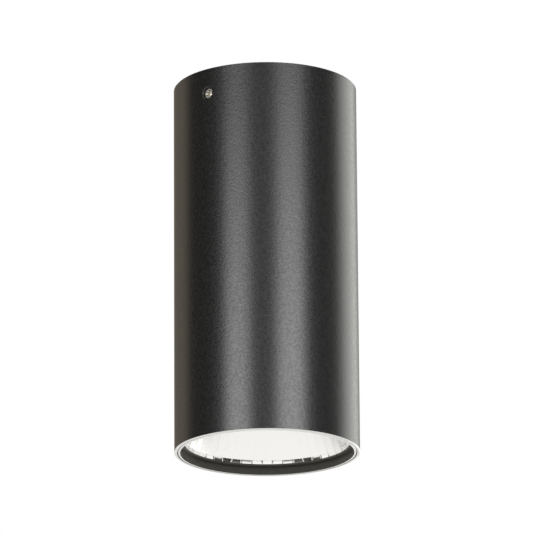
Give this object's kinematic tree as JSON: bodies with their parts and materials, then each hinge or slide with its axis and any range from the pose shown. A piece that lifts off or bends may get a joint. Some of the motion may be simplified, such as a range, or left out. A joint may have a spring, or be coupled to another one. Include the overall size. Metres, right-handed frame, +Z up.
{
  "type": "surface-mounted downlight",
  "caption": "Round surface-mounted ceiling downlight: a plain tube with a faceted reflector behind a screw-in bezel, clamped by set screws to a slotted ceiling bracket.",
  "frame": {"origin": "centre of the ceiling bracket's top face, on the ceiling", "axes": "+Z up into the ceiling, along the tube's axis; the set screws lie on X"},
  "size_m": [0.08, 0.08, 0.1646],
  "materials": {
    "powder_coat": "fine-texture satin powder coat",
    "black_anodised": "satin black anodised, bare turned end",
    "bright_reflector": "bright anodised, faceted",
    "zinc_steel": "zinc plated",
    "stainless_steel": "turned",
    "black_rubber": "moulded",
    "cast_aluminium": "die cast",
    "silicone_pad": "soft pad",
    "white_ceramic": "fired",
    "yellow_phosphor": "silicone with phosphor",
    "white_nylon": "moulded",
    "grey_nylon": "moulded",
    "clear_white_terminal": "moulded",
    "brass_screw": "nickel free",
    "tinned_copper": "tinned",
    "green_laminate": "solder mask",
    "yellow_tape": "wound and taped",
    "black_sleeve": "printed sleeve left bare",
    "copper_winding": "enamelled winding",
    "brown_insulation": "extruded",
    "blue_insulation": "extruded",
    "green_yellow_insulation": "extruded",
    "red_insulation": "extruded",
    "black_insulation": "extruded"
  },
  "bodies": {
    "bracket": {"ceiling_bracket": "zinc_steel", "cable_grommet": "black_rubber", "earth_screw": "zinc_steel", "earth_washer": "zinc_steel"},
    "housing": {"housing_tube": "powder_coat", "heat_sink": "cast_aluminium", "heat_sink_screws": "zinc_steel", "lead_bushes": "black_rubber", "thermal_pad": "silicone_pad", "led_board": "white_ceramic", "led_emitter": "yellow_phosphor", "led_holder": "white_nylon", "led_holder_screws": "zinc_steel", "driver_carrier": "zinc_steel", "carrier_screws": "zinc_steel", "driver_base": "white_nylon", "driver_lid": "white_nylon", "driver_board": "green_laminate", "driver_transformer": "yellow_tape", "driver_capacitors": "black_sleeve", "driver_choke": "copper_winding", "driver_screws": "zinc_steel", "terminal_block": "clear_white_terminal", "terminal_screws": "brass_screw", "cable_clamp": "grey_nylon", "clamp_screws": "zinc_steel", "lead_live": "brown_insulation", "lead_neutral": "blue_insulation", "lead_earth": "green_yellow_insulation", "earth_lug": "tinned_copper", "earth_lug_screw": "zinc_steel", "lead_led_plus": "red_insulation", "lead_led_minus": "black_insulation"},
    "set_screw_left": {"set_screw_left": "stainless_steel"},
    "set_screw_right": {"set_screw_right": "stainless_steel"},
    "reflector": {"reflector": "bright_reflector"},
    "bezel": {"bezel_ring": "black_anodised"}
  },
  "joints": [
    {"name": "tube_drop", "type": "slide", "parent": "bracket", "child": "housing", "axis": [0, 0, -1], "range_m": [0, 0.03]},
    {"name": "set_screw_left_out", "type": "slide", "parent": "housing", "child": "set_screw_left", "axis": [-1, 0, 0], "range_m": [0, 0.00145]},
    {"name": "set_screw_right_out", "type": "slide", "parent": "housing", "child": "set_screw_right", "axis": [1, 0, 0], "range_m": [0, 0.00145]},
    {"name": "reflector_drop", "type": "slide", "parent": "housing", "child": "reflector", "axis": [0, 0, -1], "range_m": [0, 0.005]},
    {"name": "bezel_turn", "type": "hinge", "parent": "reflector", "child": "bezel", "pos_m": [0, 0, -0.16], "axis": [0, 0, -1], "range_deg": [0, 1800]}
  ],
  "couplings": [
    {"joint": "reflector_drop", "follows": "bezel_turn", "m_per_rad": 0.00015915}
  ]
}
